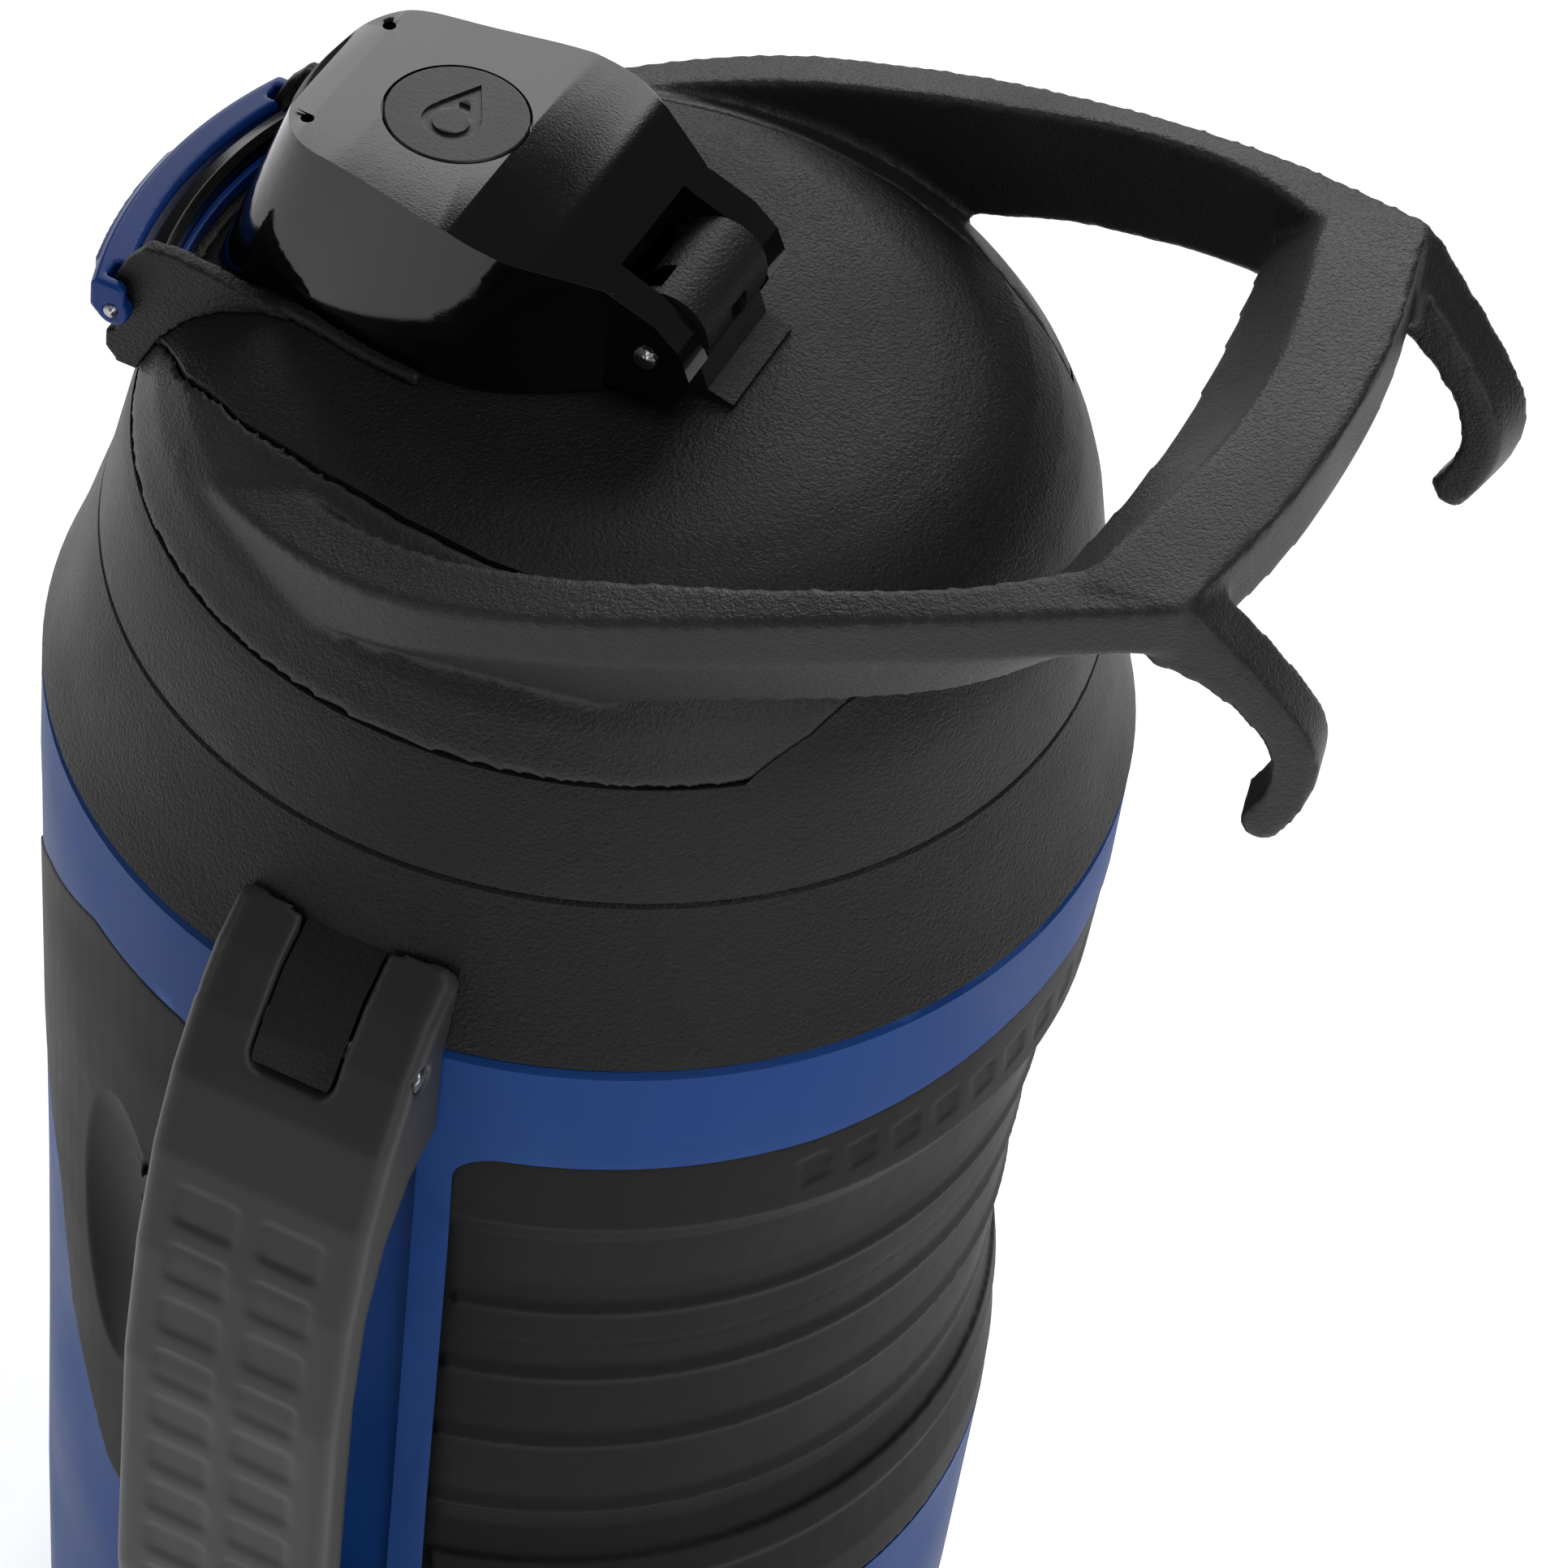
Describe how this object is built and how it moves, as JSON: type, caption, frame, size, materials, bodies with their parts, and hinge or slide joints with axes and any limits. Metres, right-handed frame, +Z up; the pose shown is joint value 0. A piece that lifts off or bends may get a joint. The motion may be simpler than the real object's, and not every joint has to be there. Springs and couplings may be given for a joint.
{
  "type": "water jug",
  "caption": "Large insulated water jug with a screw lid, flip cap over a spout, push-button latch with a lock bail, fence-hook carrying handle and a side handle.",
  "frame": {"origin": "centre of the foot ring's underside, on the jug's axis", "axes": "+Z up along the jug's axis, +X towards the fence hooks, -Y towards the side handle"},
  "size_m": [0.1873, 0.1766, 0.3223],
  "materials": {
    "blue_shell": "satin",
    "liner": "satin",
    "foam": "matte",
    "foot_rubber": "matte",
    "grained_black": "fine leather grain",
    "grip_rubber": "soft matte",
    "handle_black": "satin",
    "pin_metal": "brushed",
    "spring_metal": "bright wire",
    "seal": "soft matte",
    "spout_black": "gloss",
    "smoky_cap": "smoky gloss",
    "badge_black": "satin",
    "gloss_black": "gloss",
    "blue_gloss": "gloss"
  },
  "bodies": {
    "jug": {"outer_shell": "blue_shell", "inner_liner": "liner", "foam_insulation": "foam", "base_disc": "blue_shell", "foot_ring": "foot_rubber", "collar": "grained_black", "lower_mount": "grained_black", "grip_finger_side": "grip_rubber", "grip_thumb_side": "grip_rubber", "side_handle": "handle_black", "handle_pin_upper": "pin_metal", "handle_pin_lower": "pin_metal"},
    "lid": {"lid_shell": "grained_black", "lid_liner": "liner", "lid_gasket": "seal", "lid_foam": "foam", "hook_handle": "grained_black", "spout": "spout_black", "air_valve": "seal", "latch_bracket": "grained_black", "hinge_block": "grained_black", "hinge_pin": "pin_metal", "cap_spring": "spring_metal", "bail_pin_near": "pin_metal", "bail_pin_far": "pin_metal"},
    "cap": {"flip_cap": "smoky_cap", "badge": "badge_black", "spout_plug": "seal"},
    "button": {"push_button": "gloss_black", "button_back": "blue_gloss"},
    "bail": {"lock_bail": "blue_gloss"}
  },
  "joints": [
    {"name": "lid_lift", "type": "slide", "parent": "jug", "child": "lid", "axis": [0, 0, 1], "range_m": [0, 0.06]},
    {"name": "cap_hinge", "type": "hinge", "parent": "lid", "child": "cap", "pos_m": [0.0084, 0, 0.3002], "axis": [0, 1, 0], "range_deg": [0, 130]},
    {"name": "button_press", "type": "slide", "parent": "lid", "child": "button", "axis": [1, 0, 0], "range_m": [0, 0.001], "stiffness_N_per_m": 900},
    {"name": "bail_swing", "type": "hinge", "parent": "lid", "child": "bail", "pos_m": [-0.0638, 0, 0.2814], "axis": [0, 1, 0], "range_deg": [-30, 0]}
  ]
}
